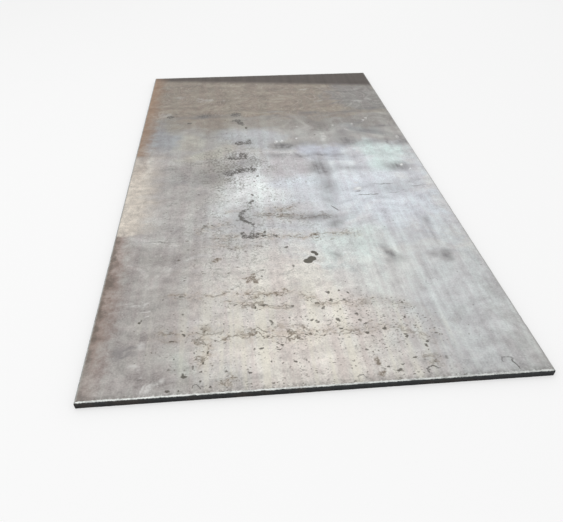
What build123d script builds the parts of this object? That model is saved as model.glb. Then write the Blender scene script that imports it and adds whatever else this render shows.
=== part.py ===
from build123d import *

import os

# Hot-rolled steel plate, flat, cut to a stock size with a shear on all four sides.
# The origin is under the middle of the plate, on the face that it lies on.
# +Y runs along the rolling direction, +X across the plate and +Z up through its thickness.

# Driving dimensions, in millimetres and degrees
PLATE_WIDTH = 1500.0
PLATE_LENGTH = 3000.0
PLATE_THICKNESS = 25.0
ROLLOVER_RADIUS = 4.5  # top edge that the blade drew down before it bit
LAND_HEIGHT = 6.5  # upright burnished band that the blade slid along
FRACTURE_LEAN = 5.0  # the torn face below the land leans in by this angle

# Height of the torn face, from the bottom face up to the land
fracture_height = PLATE_THICKNESS - ROLLOVER_RADIUS - LAND_HEIGHT


def outline():
    """Plan of the plate at the land, where it is largest."""
    return Plane.XY.offset(fracture_height) * Rectangle(PLATE_WIDTH, PLATE_LENGTH)


def land_and_rollover():
    """Upper part of the thickness: the upright land, with the edges of the top face drawn down."""
    upper = extrude(outline(), LAND_HEIGHT + ROLLOVER_RADIUS)
    top_edges = upper.faces().sort_by(Axis.Z)[-1].edges()
    return fillet(top_edges, ROLLOVER_RADIUS)


def fracture_zone():
    """Lower part of the thickness, whose four torn faces lean in towards the bottom face."""
    return extrude(outline(), fracture_height, dir=(0, 0, -1), taper=FRACTURE_LEAN)


steel_plate = land_and_rollover() + fracture_zone()

os.makedirs("parts", exist_ok=True)
export_step(steel_plate, "parts/steel_plate.step")
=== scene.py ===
import math
from types import SimpleNamespace

import bpy
import numpy as np
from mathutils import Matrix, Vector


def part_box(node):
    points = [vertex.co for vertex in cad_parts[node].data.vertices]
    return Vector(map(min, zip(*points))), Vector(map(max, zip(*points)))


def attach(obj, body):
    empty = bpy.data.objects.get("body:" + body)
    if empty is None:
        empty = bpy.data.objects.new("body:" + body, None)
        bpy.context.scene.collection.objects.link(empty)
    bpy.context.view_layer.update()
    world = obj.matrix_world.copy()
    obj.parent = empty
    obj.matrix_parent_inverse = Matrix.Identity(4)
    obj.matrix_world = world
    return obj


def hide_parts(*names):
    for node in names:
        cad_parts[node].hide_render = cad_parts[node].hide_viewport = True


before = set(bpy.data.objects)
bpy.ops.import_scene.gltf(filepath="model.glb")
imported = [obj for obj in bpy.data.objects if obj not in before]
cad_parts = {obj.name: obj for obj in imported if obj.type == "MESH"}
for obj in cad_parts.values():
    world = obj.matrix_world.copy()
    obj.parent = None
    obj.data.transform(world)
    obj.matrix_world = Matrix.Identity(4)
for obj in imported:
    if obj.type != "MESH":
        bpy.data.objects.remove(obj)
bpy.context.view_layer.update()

# The plate lies flat with the rolling direction along +Y. Lengths are metres, angles are degrees.
# Colours are display values from 0 to 255, and shade() turns them into what the shader takes.
LOW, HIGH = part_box("steel_plate")
HALF_WIDTH = (HIGH.x - LOW.x) / 2
HALF_LENGTH = (HIGH.y - LOW.y) / 2
THICKNESS = HIGH.z - LOW.z

# Section of the sheared edge
ROLLOVER = 0.0045
LAND_FOOT = 0.014
FRACTURE_LEAN = 5.0
FACE_MARGIN = 0.012

# How finely the surface is divided
CELLS_ACROSS = 60
CELLS_ALONG = 120
EDGE_STEPS = 8
ROLLOVER_STEPS = 5
LAND_STEPS = 2
FRACTURE_STEPS = 6

# Edges that turn by more than this stay sharp
SHARP_ANGLE = 40.0

# The most that each kind of unevenness goes inwards
DIP_DEPTH = 0.0008
CHIP_DEPTH = 0.0016
SCORE_DEPTH = 0.00015
TEAR_DEPTH = 0.0007

# Waves of the top face, in radians a metre: the leveller's, which snake, and two slower ones with their
# parts across and along
LEVELLER_WAVE = 13.0
SNAKE_WAVE = 2.1
SNAKE_SHARE = 0.6
SLANT_WAVE = (5.1, -1.7)
SLANT_START = 0.8
SLOW_WAVE = (4.0, 3.3)

# How many random heights each line of the edge has on its way round, and the height over which it chips
EDGE_SEED = 11
CHIP_KNOTS = 700
CHIPPED_STRETCH_KNOTS = 170
CHIP_LEVEL = 0.55
SCORE_KNOTS = 1300
TEAR_KNOTS = 900
FINE_TEAR_KNOTS = 1440
TORN_STRETCH_KNOTS = 380

# Camera, from the photograph's 563 x 522 frame
IMAGE_WIDTH = 563
FOCAL_PIXELS = 592.2
SENSOR_MM = 36.0
CAMERA_PLACE = (-0.2395, -2.7516, 1.3918)
CAMERA_TURN = 5.221
CAMERA_DOWN = 35.203
VIEW_END = 200.0


# Shape of the plate


def uneven(turn, knots, rng):
    """Closed line of heights from -1 to 1: random heights at equal steps round the path, joined by
    eased steps. turn is the share of the way round, from 0 to 1."""
    heights = rng.uniform(-1.0, 1.0, knots)
    place = turn * knots
    before = np.floor(place).astype(int)
    share = place - before
    eased = share * share * (3.0 - 2.0 * share)
    return heights[before % knots] * (1.0 - eased) + heights[(before + 1) % knots] * eased


def face_grid():
    """Grid of the unit square: u runs across and v along, both from -1 to 1, in rows of equal v."""
    u = np.linspace(-1.0, 1.0, CELLS_ACROSS + 1)
    v = np.linspace(-1.0, 1.0, CELLS_ALONG + 1)
    return np.meshgrid(u, v)


def border_order():
    """Grid points of the border, walked once round: near end, right side, far end, left side."""
    index = np.arange((CELLS_ACROSS + 1) * (CELLS_ALONG + 1)).reshape(CELLS_ALONG + 1, CELLS_ACROSS + 1)
    return np.concatenate([index[0, :-1], index[:-1, -1], index[-1, :0:-1], index[:0:-1, 0]])


def divided(border):
    """The closed border path with each step cut into EDGE_STEPS equal parts."""
    following = np.roll(border, -1, axis=0)
    share = np.arange(EDGE_STEPS)[None, :, None] / EDGE_STEPS
    return (border[:, None] * (1.0 - share) + following[:, None] * share).reshape(-1, 2)


def hollow(x, y):
    """How far the top face lies under its highest point: long waves left by the leveller, which run
    across the plate, and two slower ones, added and scaled so that they stay between 0 and DIP_DEPTH."""
    leveller = np.sin(LEVELLER_WAVE * y + SNAKE_SHARE * np.sin(SNAKE_WAVE * x))
    slant = np.sin(SLANT_WAVE[0] * x + SLANT_WAVE[1] * y + SLANT_START)
    slow = np.sin(SLOW_WAVE[0] * x + SLOW_WAVE[1] * y)
    return DIP_DEPTH * (0.5 + (leveller + slant + slow) / 6.0)


def edge_section():
    """Section of the sheared edge as inset and height from the top face down: the margin of the face,
    the quarter circle of the rollover, the upright land, the leaning torn face and the bottom margin."""
    angle = np.linspace(0.0, np.pi / 2.0, ROLLOVER_STEPS + 1)
    rollover_inset = ROLLOVER * (1.0 - np.sin(angle))
    rollover_height = THICKNESS - ROLLOVER * (1.0 - np.cos(angle))
    land_height = np.linspace(THICKNESS - ROLLOVER, LAND_FOOT, LAND_STEPS + 1)[1:]
    torn_height = np.linspace(LAND_FOOT, 0.0, FRACTURE_STEPS + 1)[1:]
    torn_inset = (LAND_FOOT - torn_height) * math.tan(math.radians(FRACTURE_LEAN))
    inset = np.concatenate([rollover_inset, np.zeros(LAND_STEPS), torn_inset])
    height = np.concatenate([rollover_height, land_height, torn_height])
    return inset, height


def sheared_edge(path):
    """Edge section carried round the path. Each ring is the outline moved in by the section's inset. To
    that come chips along the rollover, upright scores on the land and tears on the torn face, which
    all only go inwards."""
    rng = np.random.default_rng(EDGE_SEED)
    turn = np.arange(len(path)) / len(path)
    section_inset, section_height = edge_section()
    inset = np.repeat(section_inset[:, None], len(path), axis=1)
    height = np.repeat(section_height[:, None], len(path), axis=1)

    chips = uneven(turn, CHIP_KNOTS, rng) + 0.5 * uneven(turn, CHIPPED_STRETCH_KNOTS, rng)
    chips = np.clip(chips - CHIP_LEVEL, 0.0, 1.0)
    scores = 0.5 + 0.5 * uneven(turn, SCORE_KNOTS, rng)
    tears = np.stack([
        uneven(turn, TEAR_KNOTS, rng) + 0.6 * uneven(turn, FINE_TEAR_KNOTS, rng)
        for _ in range(FRACTURE_STEPS)
    ])
    broad_tears = uneven(turn, TORN_STRETCH_KNOTS, rng)

    land = ROLLOVER_STEPS + 1
    torn = land + LAND_STEPS
    on_rollover = np.sin(np.linspace(0.0, np.pi, land))[:, None]
    inset[:land] += CHIP_DEPTH * on_rollover * chips
    height[:land] -= CHIP_DEPTH * on_rollover * chips
    inset[land - 1:torn] += SCORE_DEPTH * scores
    depth = np.linspace(0.5, 1.0, FRACTURE_STEPS)[:, None]
    inset[torn:] += TEAR_DEPTH * depth * np.clip(0.5 + 0.3 * tears + 0.3 * broad_tears, 0.0, 1.5)
    x = path[:, 0] * (HALF_WIDTH - inset)
    y = path[:, 1] * (HALF_LENGTH - inset)
    height[0] -= hollow(x[0], y[0])
    return np.stack([x, y, height], axis=-1)


def plate_surface():
    """Closed surface of the plate: a grid for the top face, rings of the edge section, and a grid for the
    bottom face. Faces with EDGE_STEPS short sides join each grid's border to the finer rings."""
    u, v = face_grid()
    x = u * (HALF_WIDTH - FACE_MARGIN)
    y = v * (HALF_LENGTH - FACE_MARGIN)
    top = np.stack([x, y, THICKNESS - hollow(x, y)], axis=-1).reshape(-1, 3)
    bottom = np.stack([x, y, np.zeros_like(x)], axis=-1).reshape(-1, 3)
    border = border_order()
    path = divided(np.stack([u.ravel(), v.ravel()], axis=-1)[border])
    rings = sheared_edge(path)
    ring_count, ring_size = rings.shape[:2]
    points = np.concatenate([top, rings.reshape(-1, 3), bottom])

    index = np.arange(len(top)).reshape(u.shape)
    corners = [index[:-1, :-1], index[:-1, 1:], index[1:, 1:], index[1:, :-1]]
    cells = np.stack(corners, axis=-1).reshape(-1, 4)
    first_bottom = len(top) + ring_count * ring_size
    under = cells[:, ::-1] + first_bottom

    ring = len(top) + np.arange(ring_count * ring_size).reshape(ring_count, ring_size)
    ahead = np.roll(ring, -1, axis=1)
    strips = np.stack([ring[1:], ahead[1:], ahead[:-1], ring[:-1]], axis=-1).reshape(-1, 4)

    steps = np.arange(EDGE_STEPS + 1) + EDGE_STEPS * np.arange(len(border))[:, None]
    ahead_border = np.roll(border, -1)
    top_joins = np.column_stack([ring[0][steps % ring_size], ahead_border, border])
    bottom_joins = np.column_stack([
        border + first_bottom, ahead_border + first_bottom, ring[-1][steps % ring_size][:, ::-1]
    ])
    faces = cells.tolist() + top_joins.tolist() + strips.tolist() + bottom_joins.tolist() + under.tolist()
    top_faces = len(cells) + len(top_joins)
    part = np.repeat([0, 1, 2], [top_faces, len(strips), len(bottom_joins) + len(under)])
    return points, faces, part


# Shader nodes

SOCKET_KINDS = {"VALUE": "NodeSocketFloat", "VECTOR": "NodeSocketVector"}


class Value:
    """A node's output. Arithmetic on it adds Math nodes to its tree."""

    def __init__(self, nodes, socket):
        self.nodes = nodes
        self.socket = socket

    def also(self, name):
        """Another output of the same node."""
        return Value(self.nodes, self.socket.node.outputs[name])

    def __add__(self, other):
        return self.nodes.math("ADD", self, other)

    def __radd__(self, other):
        return self.nodes.math("ADD", other, self)

    def __sub__(self, other):
        return self.nodes.math("SUBTRACT", self, other)

    def __rsub__(self, other):
        return self.nodes.math("SUBTRACT", other, self)

    def __mul__(self, other):
        return self.nodes.math("MULTIPLY", self, other)

    def __rmul__(self, other):
        return self.nodes.math("MULTIPLY", other, self)

    def __abs__(self):
        return self.nodes.math("ABSOLUTE", self)


class Nodes:
    """A node tree and the nodes that are added to it."""

    def __init__(self, tree):
        self.tree = tree
        self.tree.nodes.clear()

    def add(self, kind, settings, values, output=0):
        """A node of that kind, with its settings set first and then its sockets set or linked."""
        node = self.tree.nodes.new(kind)
        for name, setting in settings.items():
            setattr(node, name, setting)
        for key, value in values.items():
            if isinstance(value, Value):
                self.tree.links.new(value.socket, node.inputs[key])
            else:
                node.inputs[key].default_value = value
        return Value(self, node.outputs[output]) if node.outputs else None

    def math(self, operation, *values):
        return self.add("ShaderNodeMath", {"operation": operation}, dict(enumerate(values)))

    def vector(self, operation, *values, output=0):
        return self.add("ShaderNodeVectorMath", {"operation": operation}, dict(enumerate(values)), output)

    def along(self, place, direction):
        """How far a place lies along a direction, which need not have length 1."""
        return self.vector("DOT_PRODUCT", place, direction, output="Value")

    def scaled(self, colour, amount):
        """A colour made lighter or darker by one number."""
        grey = self.add("ShaderNodeCombineColor", {}, {0: amount, 1: amount, 2: amount})
        return self.mix(1.0, colour, grey, "MULTIPLY")

    def mix(self, share, first, second, blend="MIX"):
        """The first colour where share is 0 and the second where it is 1."""
        settings = {"data_type": "RGBA", "blend_type": blend}
        return self.add("ShaderNodeMix", settings, {0: share, 6: first, 7: second}, 2)

    def ease(self, value, start, end):
        """0 where value is at start, 1 where it is at end, with a smooth step between."""
        values = {"Value": value, "From Min": start, "From Max": end}
        return self.add("ShaderNodeMapRange", {"interpolation_type": "SMOOTHSTEP"}, values)

    def greatest(self, values):
        """The greatest of several values."""
        most = values[0]
        for value in values[1:]:
            most = self.math("MAXIMUM", most, value)
        return most

    def lumps(self, place, size, seed, detail=2.0, rough=0.5):
        """Noise from 0 to 1 with lumps of about that size in metres: across and along, and up if a third
        size is given."""
        moved = self.add("ShaderNodeMapping", {"vector_type": "POINT"}, {
            "Vector": place,
            "Location": (1.7 * seed, 2.3 * seed, 3.1 * seed),
            "Scale": (*(1.0 / s for s in size), 0.0)[:3],
        })
        return self.add("ShaderNodeTexNoise", {"noise_dimensions": f"{len(size)}D"}, {
            "Vector": moved, "Scale": 1.0, "Detail": detail, "Roughness": rough,
        })

    def cells(self, place, size, seed):
        """Voronoi cells of that size in metres, across and along: the distance from each cell's point, in
        cells."""
        moved = self.add("ShaderNodeMapping", {"vector_type": "POINT"}, {
            "Vector": place,
            "Location": (1.3 * seed, 2.9 * seed, 0.0),
            "Scale": (1.0 / size[0], 1.0 / size[1], 0.0),
        })
        settings = {"voronoi_dimensions": "2D"}
        return self.add("ShaderNodeTexVoronoi", settings, {"Vector": moved, "Scale": 1.0})

    def wandering(self, place, size, reach, seed, detail=2.0):
        """The place moved by up to about half of reach, by noise with lumps of that size."""
        noise = self.lumps(place, (size, size), seed, detail).also("Color")
        parts = self.add("ShaderNodeSeparateColor", {}, {0: noise})
        offset = self.add("ShaderNodeCombineXYZ", {}, {0: parts, 1: parts.also("Green")})
        centred = self.vector("MULTIPLY_ADD", offset, (reach, reach, 0.0), (-reach / 2, -reach / 2, 0.0))
        return self.vector("ADD", place, centred)

    def local(self, place, mark):
        """The place in a mark's own frame: middle at 0, rim at 1, turned with the mark."""
        x, y, half_x, half_y, turn = mark[:5]
        if turn == 0.0:
            scale = (1 / half_x, 1 / half_y, 0.0)
            return self.vector("MULTIPLY_ADD", place, scale, (-x / half_x, -y / half_y, 0.0))
        c = math.cos(math.radians(turn))
        s = math.sin(math.radians(turn))
        across = self.along(place, (c / half_x, s / half_x, 0.0)) - (x * c + y * s) / half_x
        along = self.along(place, (-s / half_y, c / half_y, 0.0)) - (y * c - x * s) / half_y
        return self.add("ShaderNodeCombineXYZ", {}, {0: across, 1: along})

    def reach(self, place, mark):
        """Distance from a mark's middle: 1 at its rim."""
        return self.vector("LENGTH", self.local(place, mark), output="Value")

    def grouped(self, name, inputs, make):
        """What make works out from the inputs, in a node group of its own. Blender goes through the whole
        tree at each change, so a long list of marks is made faster in a small tree."""
        group = bpy.data.node_groups.new(name, "ShaderNodeTree")
        for number, value in enumerate(inputs):
            kind = SOCKET_KINDS[value.socket.type]
            group.interface.new_socket(f"in_{number}", in_out="INPUT", socket_type=kind)
        inner = Nodes(group)
        entry = inner.add("NodeGroupInput", {}, {}).socket.node
        results = make(inner, *(Value(inner, socket) for socket in entry.outputs[:len(inputs)]))
        for number, value in enumerate(results):
            kind = SOCKET_KINDS[value.socket.type]
            group.interface.new_socket(f"out_{number}", in_out="OUTPUT", socket_type=kind)
        inner.add("NodeGroupOutput", {}, dict(enumerate(results)))
        node = self.add("ShaderNodeGroup", {"node_tree": group}, dict(enumerate(inputs))).socket.node
        return [Value(self, socket) for socket in node.outputs]

    def marks(self, place, marks):
        """Field of several marks: each one's strength at its middle, falling to 0 at its rim."""
        def strongest(inner, at):
            field = -1.0
            for mark in marks:
                strength = mark[5]
                inside = inner.math("MULTIPLY_ADD", inner.reach(at, mark), -strength, strength)
                field = inner.math("MAXIMUM", inside, field)
            return [field]

        return self.grouped("marks", [place], strongest)[0]

    def rings(self, place, rings, thick):
        """Bands along the rims of marks, each left open on the mark's right side. thick is their half
        width, as a share of the mark's size."""
        def strongest(inner, at):
            field = 0.0
            for ring in rings:
                local = inner.local(at, ring)
                away = inner.vector("LENGTH", local, output="Value")
                across = inner.along(local, (1.0, 0.0, 0.0))
                band = inner.ease(abs(away - 1.0), thick, 0.3 * thick) * inner.ease(across, 0.55, 0.05)
                field = inner.math("MAXIMUM", band * ring[5], field)
            return [field]

        return self.grouped("rings", [place], strongest)[0]


class Finish(Nodes):
    """A material and its nodes. place is the point of the surface, in Object coordinates."""

    def __init__(self, name):
        self.material = bpy.data.materials.new(name)
        self.material.use_nodes = True
        super().__init__(self.material.node_tree)
        self.place = self.add("ShaderNodeTexCoord", {}, {}, "Object")

    def surface(self, values, bumps):
        """Principled shader with these sockets, and bumps as (height, distance) pairs in a row."""
        normal = None
        for height, distance in bumps:
            sockets = {"Height": height, "Distance": distance}
            if normal:
                sockets["Normal"] = normal
            normal = self.add("ShaderNodeBump", {}, sockets)
        if normal:
            values["Normal"] = normal
        shader = self.add("ShaderNodeBsdfPrincipled", {}, values)
        self.add("ShaderNodeOutputMaterial", {}, {"Surface": shader})
        return self.material


def shade(red, green, blue):
    """Display values from 0 to 255 as a linear colour."""
    parts = [c / 255.0 for c in (red, green, blue)]
    linear = [p / 12.92 if p <= 0.04045 else ((p + 0.055) / 1.055) ** 2.4 for p in parts]
    return (*linear, 1.0)


# Rolled face

PLATE_GREY = shade(196, 194, 192)
NEAR_LEFT_GREY = shade(172, 167, 164)
NEAR_RIGHT_GREY = shade(203, 206, 208)
WARM_WHITE = shade(224, 219, 213)
CREAM = shade(224, 218, 211)
PALE_CREAM = shade(236, 230, 221)
PALE_SHEEN = shade(215, 218, 216)
CORNER_GREY = shade(180, 178, 176)
# Painted reflection: cold pale whites of a glare across the middle and right of the top face
LILAC_REFLECTION = shade(210, 214, 220)
BLUE_REFLECTION = shade(214, 219, 226)
COLD_REFLECTION = shade(231, 235, 235)
MINT_WHITE = shade(207, 219, 218)
MINT_PALE = shade(214, 222, 220)
MINT_GREY = shade(193, 198, 191)
STAINED_GREY = shade(182, 177, 172)
HAZE_GREY = shade(150, 147, 144)
HAZE_BROWN = shade(166, 161, 154)
MID_GREY = shade(168, 166, 163)
MID_PALE = shade(188, 191, 195)
MID_DARK = shade(142, 138, 134)
MID_BROWN = shade(150, 144, 136)
SLATE_GREY = shade(139, 141, 143)
LILAC_GREY = shade(186, 189, 201)
MAUVE_GREY = shade(186, 179, 180)
BLUE_GREY = shade(164, 167, 172)
OLIVE_CREAM = shade(191, 188, 178)
FAR_DUST = shade(150, 140, 129)
FAR_GREY = shade(142, 139, 136)
# Painted shadow across the far end
FAR_SHADOW = shade(86, 79, 75)
RUST = shade(158, 133, 113)
PALE_RUST = shade(214, 205, 193)
BROWN_RUST = shade(144, 121, 109)
RIM_BROWN = shade(112, 101, 91)
OIL = shade(80, 76, 66)
SCALE_DARK = shade(90, 87, 83)
SPECK_BROWN = shade(100, 94, 82)
SMUDGE_GREY = shade(122, 120, 121)
FRECKLE = shade(124, 120, 114)
THREAD_BROWN = shade(108, 96, 80)
STAIN_BROWN = shade(179, 165, 147)
CREAM_STREAK = shade(224, 218, 202)
PINK_STREAK = shade(206, 195, 190)
SCUFF = shade(216, 215, 212)
CHIP_WHITE = shade(240, 242, 242)
# Rubbed bright steel with a painted highlight, along the rollover
WORN_STEEL_AND_HIGHLIGHT = shade(228, 231, 228)
RIM_GREY = shade(104, 102, 98)
SIDE_GREY = shade(172, 169, 163)
PINK_CAST = (1.016, 0.990, 0.991, 1.0)
GREEN_CAST = (0.986, 1.006, 0.990, 1.0)

# Broad tone zones of the near half: middle x and y, half width, half length, turn, share, colour
NEAR_ZONES = (
    (-0.60, -1.15, 0.30, 0.62, 0.0, 0.90, NEAR_LEFT_GREY),
    (0.62, -1.10, 0.42, 0.60, 0.0, 0.80, NEAR_RIGHT_GREY),
    (-0.03, -1.13, 0.43, 0.56, 0.0, 0.96, WARM_WHITE),
    (0.00, -1.37, 0.23, 0.20, 0.0, 0.60, CREAM),
    (0.28, -0.86, 0.20, 0.28, 0.0, 0.75, PALE_SHEEN),
    (0.74, -1.42, 0.16, 0.36, 0.0, 0.60, CORNER_GREY),
    # The lilac, cold and blue zones are painted reflection, a cold glare across the middle and right; the
    # pale sheen above is painted sheen too
    (0.28, -0.20, 0.74, 0.61, 0.0, 0.90, LILAC_REFLECTION),
    (-0.15, -0.21, 0.25, 0.25, 0.0, 0.95, COLD_REFLECTION),
    (0.10, -0.14, 0.14, 0.10, 0.0, 0.80, BLUE_REFLECTION),
    (0.47, -0.31, 0.22, 0.32, 0.0, 0.80, BLUE_REFLECTION),
    (0.24, -0.71, 0.17, 0.18, 0.0, 0.95, MINT_PALE),
    (-0.02, -0.48, 0.20, 0.08, 0.0, 0.35, STAINED_GREY),
    (-0.52, -0.15, 0.26, 0.50, 0.0, 0.60, NEAR_LEFT_GREY),
    (-0.45, -1.37, 0.08, 0.09, 0.0, 0.55, MINT_GREY),
    (-0.23, -1.38, 0.09, 0.11, 0.0, 0.70, PLATE_GREY),
    (-0.07, -1.28, 0.10, 0.09, 0.0, 0.80, PALE_CREAM),
    (-0.38, 0.02, 0.10, 0.20, 0.0, 0.50, HAZE_BROWN),
)

# And of the far half
FAR_ZONES = (
    (-0.22, 0.07, 0.17, 0.09, 15.0, 0.45, HAZE_GREY),
    (-0.15, 0.64, 0.85, 0.17, 0.0, 0.75, MID_BROWN),
    (-0.11, 0.43, 0.20, 0.17, 0.0, 0.80, MID_PALE),
    (0.45, 0.62, 0.42, 0.17, 0.0, 0.85, MID_DARK),
    (0.51, 0.47, 0.18, 0.07, 0.0, 0.70, SLATE_GREY),
    (0.25, 0.20, 0.16, 0.10, 0.0, 0.75, LILAC_GREY),
    (0.03, 0.05, 0.14, 0.15, 0.0, 0.60, MAUVE_GREY),
    (0.53, 0.12, 0.12, 0.17, 0.0, 0.95, MINT_WHITE),
    (0.65, 0.12, 0.10, 0.10, 0.0, 0.80, MINT_WHITE),
    (-0.38, 0.64, 0.18, 0.12, 0.0, 0.70, FAR_DUST),
    (-0.62, 0.44, 0.09, 0.24, 0.0, 0.75, BLUE_GREY),
    (-0.50, 0.39, 0.08, 0.10, 0.0, 0.75, OLIVE_CREAM),
    (-0.41, 0.21, 0.10, 0.08, 0.0, 0.85, OLIVE_CREAM),
    (-0.29, 0.29, 0.10, 0.07, 0.0, 0.65, OLIVE_CREAM),
    (0.42, 0.68, 0.12, 0.04, 0.0, 0.60, FAR_DUST),
)

# Stretch of the left side that was rubbed pale: its y from and to, and how softly it begins and ends
PALE_STRETCH = (-0.575, 0.195)
PALE_SOFTNESS = (0.012, 0.030)

# Areas that a layer keeps to or grows strong in: middle x and y, half width, half length, turn
FAR_RIGHT_ZONE = (0.66, 1.00, 0.26, 0.36, 20.0)
PITTED_ZONE = (-0.02, -1.28, 0.62, 0.36, 0.0)
SPECKLED_ZONE = (0.27, -1.24, 0.22, 0.20, 0.0)
FRECKLED_ZONE = (-0.20, -0.24, 0.44, 0.92, 0.0)
GRAINY_ZONE = (-0.28, 0.08, 0.26, 0.30, 0.0)
DASHED_ZONE = (-0.28, -0.60, 0.32, 0.50, 0.0)
DRAGGED_ZONE = (0.52, -1.05, 0.36, 0.62, 0.0)

# Each mark below is its middle x and y, half width, half length, turn and strength

# Dark crusts of loose scale, as marks
CRUSTS = (
    (-0.180, 0.628, 0.022, 0.055, 25.0, 1.0),
    (-0.198, 0.662, 0.034, 0.024, 0.0, 0.9),
    (-0.205, 0.762, 0.045, 0.040, 0.0, 0.5),
    (-0.395, 0.752, 0.050, 0.040, 0.0, 0.45),
    (-0.598, 0.752, 0.026, 0.024, 0.0, 0.8),
    (-0.481, 0.645, 0.018, 0.014, 0.0, 0.6),
    (-0.192, 0.331, 0.030, 0.030, 0.0, 1.1),
    (-0.140, 0.345, 0.020, 0.034, 0.0, 1.0),
    (-0.165, 0.325, 0.050, 0.018, 0.0, 0.8),
    (-0.205, 0.138, 0.066, 0.015, 0.0, 1.0),
    (-0.187, 0.170, 0.016, 0.048, 0.0, 1.1),
    (-0.165, 0.178, 0.017, 0.038, 0.0, 0.9),
    (-0.240, 0.142, 0.024, 0.020, 0.0, 0.8),
    (-0.248, -0.029, 0.055, 0.034, 15.0, 0.7),
    (-0.187, -0.005, 0.066, 0.030, 10.0, 0.8),
    (-0.135, 0.005, 0.018, 0.050, 0.0, 0.6),
    (-0.205, -0.620, 0.014, 0.034, 15.0, 1.0),
    (-0.185, -0.632, 0.034, 0.014, -20.0, 0.9),
    (-0.172, -0.612, 0.014, 0.030, -15.0, 1.0),
    (-0.150, -0.622, 0.012, 0.026, 0.0, 0.8),
)

# Brown crusts, as marks
BROWN_CRUSTS = (
    (-0.190, -0.925, 0.045, 0.013, 62.0, 1.1),
    (-0.190, -0.930, 0.044, 0.012, -8.0, 1.0),
    (-0.174, -0.948, 0.014, 0.030, 0.0, 1.0),
    (-0.323, -0.792, 0.026, 0.018, 20.0, 1.1),
    (0.196, -1.410, 0.014, 0.028, 0.0, 0.8),
    (0.200, -1.462, 0.018, 0.014, 0.0, 0.8),
    (-0.355, -1.215, 0.050, 0.040, 0.0, 0.20),
    (-0.480, -1.258, 0.060, 0.020, 0.0, 0.25),
    (-0.120, -1.028, 0.110, 0.020, 0.0, 0.26),
    (0.050, -1.108, 0.080, 0.026, 0.0, 0.28),
    (0.000, -0.420, 0.050, 0.024, 0.0, 0.30),
    (-0.290, 0.735, 0.120, 0.034, 0.0, 0.28),
    (-0.040, 0.748, 0.110, 0.030, 0.0, 0.28),
    (0.080, 0.705, 0.060, 0.026, 0.0, 0.22),
    (-0.270, 0.680, 0.070, 0.030, 0.0, 0.22),
    (-0.480, 0.690, 0.060, 0.030, 0.0, 0.22),
)

# Soft dark smudges, as marks
SMUDGES = (
    (0.045, 0.275, 0.090, 0.064, 0.0, 1.25),
    (0.150, 0.300, 0.140, 0.036, 0.0, 0.4),
    (0.405, 0.310, 0.080, 0.085, -15.0, 1.2),
    (0.395, 0.400, 0.050, 0.090, -20.0, 0.5),
    (0.631, 0.293, 0.020, 0.050, 0.0, 1.0),
    (0.710, 0.295, 0.045, 0.090, 0.0, 1.1),
    (0.550, 0.302, 0.250, 0.036, 0.0, 0.35),
    (0.000, 0.158, 0.075, 0.034, 0.0, 0.6),
    (0.113, 0.155, 0.014, 0.040, 8.0, 0.9),
    (0.140, 0.146, 0.075, 0.026, 0.0, 0.5),
    (0.230, 0.147, 0.056, 0.032, 0.0, 0.7),
    (0.330, 0.140, 0.075, 0.030, 0.0, 0.35),
    (0.222, -0.010, 0.060, 0.120, 0.0, 1.25),
    (0.215, -0.015, 0.080, 0.060, 0.0, 0.9),
    (0.228, 0.075, 0.024, 0.060, 0.0, 0.5),
    (0.214, -0.200, 0.050, 0.180, 0.0, 0.5),
    (0.520, -0.260, 0.090, 0.060, 0.0, 0.35),
    (-0.200, -0.470, 0.060, 0.080, 0.0, 0.3),
    (0.350, -0.020, 0.110, 0.036, 0.0, 0.4),
    (0.620, -0.030, 0.090, 0.055, -12.0, 0.8),
    (0.640, -0.042, 0.045, 0.024, 0.0, 0.6),
    (0.660, 0.505, 0.062, 0.022, -8.0, 0.7),
    (0.656, 0.793, 0.045, 0.020, 14.0, 1.0),
    (0.523, 0.566, 0.042, 0.042, -30.0, 0.7),
    (0.537, 0.434, 0.075, 0.038, 0.0, 0.5),
    (0.270, 0.750, 0.125, 0.034, -3.0, 0.8),
    (0.480, 0.745, 0.138, 0.024, 4.0, 0.5),
    (-0.400, 0.735, 0.190, 0.034, 0.0, 0.5),
    (0.135, -0.490, 0.130, 0.044, -4.0, 0.7),
    (0.170, -0.494, 0.055, 0.030, 0.0, 0.6),
    (0.205, -0.345, 0.038, 0.050, 0.0, 0.5),
    (0.200, -0.560, 0.034, 0.050, 0.0, 0.5),
    (0.380, -0.800, 0.026, 0.066, 5.0, 0.95),
    (0.392, -0.840, 0.040, 0.034, 0.0, 0.5),
    (0.605, -0.842, 0.036, 0.044, 0.0, 1.0),
    (0.562, -0.828, 0.030, 0.026, 0.0, 0.4),
    (0.605, -0.555, 0.022, 0.045, 0.0, 0.5),
    (0.160, -0.800, 0.028, 0.028, 0.0, 0.4),
    (-0.640, -1.292, 0.030, 0.034, 0.0, 0.65),
    (-0.604, -1.278, 0.042, 0.014, 10.0, 0.8),
    (-0.612, -1.308, 0.046, 0.012, 6.0, 0.7),
    (-0.360, -0.070, 0.080, 0.050, 25.0, 0.35),
)

# Oil that dripped on the plate, as marks: two beads run together, and a comma beside them
OIL_DRIPS = (
    (0.045, -0.829, 0.025, 0.019, 20.0, 1.0),
    (0.061, -0.815, 0.019, 0.019, 0.0, 1.0),
    (0.074, -0.771, 0.015, 0.011, -20.0, 1.0),
    (0.083, -0.785, 0.008, 0.014, 10.0, 1.0),
)

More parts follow.
